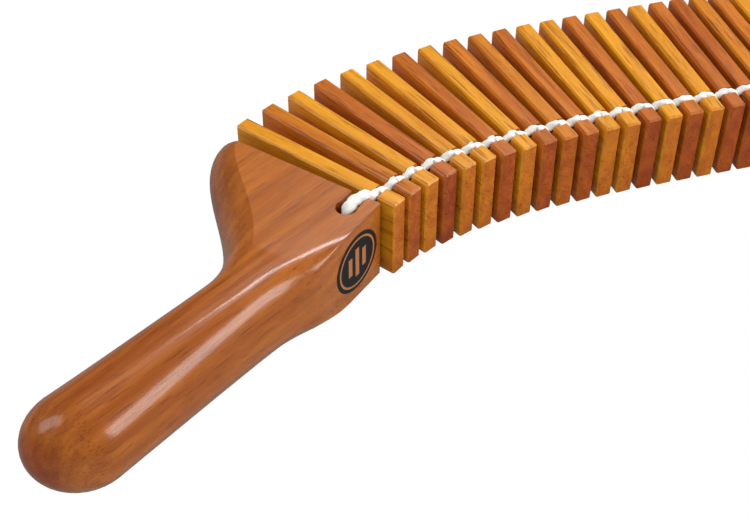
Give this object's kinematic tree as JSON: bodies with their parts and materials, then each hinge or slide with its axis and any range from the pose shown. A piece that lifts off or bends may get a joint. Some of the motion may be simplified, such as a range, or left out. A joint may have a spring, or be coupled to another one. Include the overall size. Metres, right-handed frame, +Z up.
{
  "type": "kokiriko",
  "caption": "Folk clapper: a bowed row of notched wooden slats strung on a cotton cord between two flared, lacquered hand grips, which clack when the row is flexed.",
  "frame": {"origin": "middle of the footprint of the resting object, on the surface it stands on", "axes": "+X along the row from the left handle to the right one, +Y towards the far, unstrung ends of the slats, +Z up along the slats' height"},
  "size_m": [0.696, 0.1862, 0.036],
  "materials": {
    "handle_lacquer": "glossy lacquer over reddish wood",
    "slat_gold": "satin lacquer, fine grain along the slat",
    "slat_amber": "satin lacquer, fine grain along the slat",
    "slat_russet": "satin lacquer, fine grain along the slat",
    "slat_orange": "satin lacquer, fine grain along the slat",
    "cord_cotton": "soft twisted cotton"
  },
  "bodies": {
    "handle_left": {"handle_left": "handle_lacquer"},
    "slat_01": {"slat_01": "slat_gold"},
    "slat_02": {"slat_02": "slat_amber"},
    "slat_03": {"slat_03": "slat_gold"},
    "slat_04": {"slat_04": "slat_russet"},
    "slat_05": {"slat_05": "slat_gold"},
    "slat_06": {"slat_06": "slat_gold"},
    "slat_07": {"slat_07": "slat_orange"},
    "slat_08": {"slat_08": "slat_gold"},
    "slat_09": {"slat_09": "slat_orange"},
    "slat_10": {"slat_10": "slat_amber"},
    "slat_11": {"slat_11": "slat_orange"},
    "slat_12": {"slat_12": "slat_gold"},
    "slat_13": {"slat_13": "slat_gold"},
    "slat_14": {"slat_14": "slat_russet"},
    "slat_15": {"slat_15": "slat_gold"},
    "slat_16": {"slat_16": "slat_orange"},
    "slat_17": {"slat_17": "slat_gold"},
    "slat_18": {"slat_18": "slat_russet"},
    "slat_19": {"slat_19": "slat_russet"},
    "slat_20": {"slat_20": "slat_amber"},
    "slat_21": {"slat_21": "slat_orange"},
    "slat_22": {"slat_22": "slat_gold"},
    "slat_23": {"slat_23": "slat_orange", "cord": "cord_cotton"},
    "slat_24": {"slat_24": "slat_gold"},
    "slat_25": {"slat_25": "slat_amber"},
    "slat_26": {"slat_26": "slat_gold"},
    "slat_27": {"slat_27": "slat_russet"},
    "slat_28": {"slat_28": "slat_gold"},
    "slat_29": {"slat_29": "slat_gold"},
    "slat_30": {"slat_30": "slat_orange"},
    "slat_31": {"slat_31": "slat_gold"},
    "slat_32": {"slat_32": "slat_orange"},
    "slat_33": {"slat_33": "slat_amber"},
    "slat_34": {"slat_34": "slat_orange"},
    "slat_35": {"slat_35": "slat_gold"},
    "slat_36": {"slat_36": "slat_gold"},
    "slat_37": {"slat_37": "slat_russet"},
    "slat_38": {"slat_38": "slat_gold"},
    "slat_39": {"slat_39": "slat_orange"},
    "slat_40": {"slat_40": "slat_gold"},
    "slat_41": {"slat_41": "slat_russet"},
    "slat_42": {"slat_42": "slat_russet"},
    "slat_43": {"slat_43": "slat_amber"},
    "slat_44": {"slat_44": "slat_orange"},
    "slat_45": {"slat_45": "slat_gold"},
    "handle_right": {"handle_right": "handle_lacquer", "cord_knot": "cord_cotton"}
  },
  "joints": [
    {"name": "slat_22_hinge", "type": "hinge", "parent": "slat_23", "child": "slat_22", "pos_m": [-0.0047, 0.02344, 0.018], "axis": [0, 0, 1], "range_deg": [-1.62, 4.98], "deforming": ["cord"]},
    {"name": "slat_21_hinge", "type": "hinge", "parent": "slat_22", "child": "slat_21", "pos_m": [-0.0141, 0.02344, 0.018], "axis": [0, 0, 1], "range_deg": [-1.69, 4.91], "deforming": ["cord"]},
    {"name": "slat_20_hinge", "type": "hinge", "parent": "slat_21", "child": "slat_20", "pos_m": [-0.0235, 0.02344, 0.018], "axis": [0, 0, 1], "range_deg": [-1.79, 4.81], "deforming": ["cord"]},
    {"name": "slat_19_hinge", "type": "hinge", "parent": "slat_20", "child": "slat_19", "pos_m": [-0.0329, 0.02344, 0.018], "axis": [0, 0, 1], "range_deg": [-1.9, 4.7], "deforming": ["cord"]},
    {"name": "slat_18_hinge", "type": "hinge", "parent": "slat_19", "child": "slat_18", "pos_m": [-0.0423, 0.02343, 0.018], "axis": [0, 0, 1], "range_deg": [-2.03, 4.57], "deforming": ["cord"]},
    {"name": "slat_17_hinge", "type": "hinge", "parent": "slat_18", "child": "slat_17", "pos_m": [-0.0517, 0.02341, 0.018], "axis": [0, 0, 1], "range_deg": [-2.17, 4.43], "deforming": ["cord"]},
    {"name": "slat_16_hinge", "type": "hinge", "parent": "slat_17", "child": "slat_16", "pos_m": [-0.0611, 0.02338, 0.018], "axis": [0, 0, 1], "range_deg": [-2.32, 4.28], "deforming": ["cord"]},
    {"name": "slat_15_hinge", "type": "hinge", "parent": "slat_16", "child": "slat_15", "pos_m": [-0.0705, 0.02333, 0.018], "axis": [0, 0, 1], "range_deg": [-2.48, 4.12], "deforming": ["cord"]},
    {"name": "slat_14_hinge", "type": "hinge", "parent": "slat_15", "child": "slat_14", "pos_m": [-0.0799, 0.02323, 0.018], "axis": [0, 0, 1], "range_deg": [-2.65, 3.95], "deforming": ["cord"]},
    {"name": "slat_13_hinge", "type": "hinge", "parent": "slat_14", "child": "slat_13", "pos_m": [-0.0893, 0.02308, 0.018], "axis": [0, 0, 1], "range_deg": [-2.83, 3.77], "deforming": ["cord"]},
    {"name": "slat_12_hinge", "type": "hinge", "parent": "slat_13", "child": "slat_12", "pos_m": [-0.0987, 0.02285, 0.018], "axis": [0, 0, 1], "range_deg": [-3.01, 3.59], "deforming": ["cord"]},
    {"name": "slat_11_hinge", "type": "hinge", "parent": "slat_12", "child": "slat_11", "pos_m": [-0.10809, 0.02251, 0.018], "axis": [0, 0, 1], "range_deg": [-3.21, 3.39], "deforming": ["cord"]},
    {"name": "slat_10_hinge", "type": "hinge", "parent": "slat_11", "child": "slat_10", "pos_m": [-0.11748, 0.02203, 0.018], "axis": [0, 0, 1], "range_deg": [-3.4, 3.2], "deforming": ["cord"]},
    {"name": "slat_09_hinge", "type": "hinge", "parent": "slat_10", "child": "slat_09", "pos_m": [-0.12685, 0.02138, 0.018], "axis": [0, 0, 1], "range_deg": [-3.61, 2.99], "deforming": ["cord"]},
    {"name": "slat_08_hinge", "type": "hinge", "parent": "slat_09", "child": "slat_08", "pos_m": [-0.13621, 0.0205, 0.018], "axis": [0, 0, 1], "range_deg": [-3.82, 2.78], "deforming": ["cord"]},
    {"name": "slat_07_hinge", "type": "hinge", "parent": "slat_08", "child": "slat_07", "pos_m": [-0.14554, 0.01934, 0.018], "axis": [0, 0, 1], "range_deg": [-4.04, 2.56], "deforming": ["cord"]},
    {"name": "slat_06_hinge", "type": "hinge", "parent": "slat_07", "child": "slat_06", "pos_m": [-0.15482, 0.01785, 0.018], "axis": [0, 0, 1], "range_deg": [-4.26, 2.34], "deforming": ["cord"]},
    {"name": "slat_05_hinge", "type": "hinge", "parent": "slat_06", "child": "slat_05", "pos_m": [-0.16402, 0.01595, 0.018], "axis": [0, 0, 1], "range_deg": [-4.49, 2.11], "deforming": ["cord"]},
    {"name": "slat_04_hinge", "type": "hinge", "parent": "slat_05", "child": "slat_04", "pos_m": [-0.17311, 0.01358, 0.018], "axis": [0, 0, 1], "range_deg": [-4.72, 1.88], "deforming": ["cord"]},
    {"name": "slat_03_hinge", "type": "hinge", "parent": "slat_04", "child": "slat_03", "pos_m": [-0.18204, 0.01065, 0.018], "axis": [0, 0, 1], "range_deg": [-4.96, 1.64], "deforming": ["cord"]},
    {"name": "slat_02_hinge", "type": "hinge", "parent": "slat_03", "child": "slat_02", "pos_m": [-0.19073, 0.00709, 0.018], "axis": [0, 0, 1], "range_deg": [-5.21, 1.39], "deforming": ["cord"]},
    {"name": "slat_01_hinge", "type": "hinge", "parent": "slat_02", "child": "slat_01", "pos_m": [-0.19909, 0.00281, 0.018], "axis": [0, 0, 1], "range_deg": [-5.46, 1.14], "deforming": ["cord"]},
    {"name": "handle_left_hinge", "type": "hinge", "parent": "slat_01", "child": "handle_left", "pos_m": [-0.207, -0.00224, 0.018], "axis": [0, 0, 1], "range_deg": [-5.71, 0.89], "deforming": ["cord"]},
    {"name": "slat_24_hinge", "type": "hinge", "parent": "slat_23", "child": "slat_24", "pos_m": [0.0047, 0.02344, 0.018], "axis": [0, 0, -1], "range_deg": [-1.62, 4.98], "deforming": ["cord"]},
    {"name": "slat_25_hinge", "type": "hinge", "parent": "slat_24", "child": "slat_25", "pos_m": [0.0141, 0.02344, 0.018], "axis": [0, 0, -1], "range_deg": [-1.69, 4.91], "deforming": ["cord"]},
    {"name": "slat_26_hinge", "type": "hinge", "parent": "slat_25", "child": "slat_26", "pos_m": [0.0235, 0.02344, 0.018], "axis": [0, 0, -1], "range_deg": [-1.79, 4.81], "deforming": ["cord"]},
    {"name": "slat_27_hinge", "type": "hinge", "parent": "slat_26", "child": "slat_27", "pos_m": [0.0329, 0.02344, 0.018], "axis": [0, 0, -1], "range_deg": [-1.9, 4.7], "deforming": ["cord"]},
    {"name": "slat_28_hinge", "type": "hinge", "parent": "slat_27", "child": "slat_28", "pos_m": [0.0423, 0.02343, 0.018], "axis": [0, 0, -1], "range_deg": [-2.03, 4.57], "deforming": ["cord"]},
    {"name": "slat_29_hinge", "type": "hinge", "parent": "slat_28", "child": "slat_29", "pos_m": [0.0517, 0.02341, 0.018], "axis": [0, 0, -1], "range_deg": [-2.17, 4.43], "deforming": ["cord"]},
    {"name": "slat_30_hinge", "type": "hinge", "parent": "slat_29", "child": "slat_30", "pos_m": [0.0611, 0.02338, 0.018], "axis": [0, 0, -1], "range_deg": [-2.32, 4.28], "deforming": ["cord"]},
    {"name": "slat_31_hinge", "type": "hinge", "parent": "slat_30", "child": "slat_31", "pos_m": [0.0705, 0.02333, 0.018], "axis": [0, 0, -1], "range_deg": [-2.48, 4.12], "deforming": ["cord"]},
    {"name": "slat_32_hinge", "type": "hinge", "parent": "slat_31", "child": "slat_32", "pos_m": [0.0799, 0.02323, 0.018], "axis": [0, 0, -1], "range_deg": [-2.65, 3.95], "deforming": ["cord"]},
    {"name": "slat_33_hinge", "type": "hinge", "parent": "slat_32", "child": "slat_33", "pos_m": [0.0893, 0.02308, 0.018], "axis": [0, 0, -1], "range_deg": [-2.83, 3.77], "deforming": ["cord"]},
    {"name": "slat_34_hinge", "type": "hinge", "parent": "slat_33", "child": "slat_34", "pos_m": [0.0987, 0.02285, 0.018], "axis": [0, 0, -1], "range_deg": [-3.01, 3.59], "deforming": ["cord"]},
    {"name": "slat_35_hinge", "type": "hinge", "parent": "slat_34", "child": "slat_35", "pos_m": [0.10809, 0.02251, 0.018], "axis": [0, 0, -1], "range_deg": [-3.21, 3.39], "deforming": ["cord"]},
    {"name": "slat_36_hinge", "type": "hinge", "parent": "slat_35", "child": "slat_36", "pos_m": [0.11748, 0.02203, 0.018], "axis": [0, 0, -1], "range_deg": [-3.4, 3.2], "deforming": ["cord"]},
    {"name": "slat_37_hinge", "type": "hinge", "parent": "slat_36", "child": "slat_37", "pos_m": [0.12685, 0.02138, 0.018], "axis": [0, 0, -1], "range_deg": [-3.61, 2.99], "deforming": ["cord"]},
    {"name": "slat_38_hinge", "type": "hinge", "parent": "slat_37", "child": "slat_38", "pos_m": [0.13621, 0.0205, 0.018], "axis": [0, 0, -1], "range_deg": [-3.82, 2.78], "deforming": ["cord"]},
    {"name": "slat_39_hinge", "type": "hinge", "parent": "slat_38", "child": "slat_39", "pos_m": [0.14554, 0.01934, 0.018], "axis": [0, 0, -1], "range_deg": [-4.04, 2.56], "deforming": ["cord"]},
    {"name": "slat_40_hinge", "type": "hinge", "parent": "slat_39", "child": "slat_40", "pos_m": [0.15482, 0.01785, 0.018], "axis": [0, 0, -1], "range_deg": [-4.26, 2.34], "deforming": ["cord"]},
    {"name": "slat_41_hinge", "type": "hinge", "parent": "slat_40", "child": "slat_41", "pos_m": [0.16402, 0.01595, 0.018], "axis": [0, 0, -1], "range_deg": [-4.49, 2.11], "deforming": ["cord"]},
    {"name": "slat_42_hinge", "type": "hinge", "parent": "slat_41", "child": "slat_42", "pos_m": [0.17311, 0.01358, 0.018], "axis": [0, 0, -1], "range_deg": [-4.72, 1.88], "deforming": ["cord"]},
    {"name": "slat_43_hinge", "type": "hinge", "parent": "slat_42", "child": "slat_43", "pos_m": [0.18204, 0.01065, 0.018], "axis": [0, 0, -1], "range_deg": [-4.96, 1.64], "deforming": ["cord"]},
    {"name": "slat_44_hinge", "type": "hinge", "parent": "slat_43", "child": "slat_44", "pos_m": [0.19073, 0.00709, 0.018], "axis": [0, 0, -1], "range_deg": [-5.21, 1.39], "deforming": ["cord"]},
    {"name": "slat_45_hinge", "type": "hinge", "parent": "slat_44", "child": "slat_45", "pos_m": [0.19909, 0.00281, 0.018], "axis": [0, 0, -1], "range_deg": [-5.46, 1.14], "deforming": ["cord"]},
    {"name": "handle_right_hinge", "type": "hinge", "parent": "slat_45", "child": "handle_right", "pos_m": [0.207, -0.00224, 0.018], "axis": [0, 0, -1], "range_deg": [-5.71, 0.89], "deforming": ["cord"]}
  ]
}
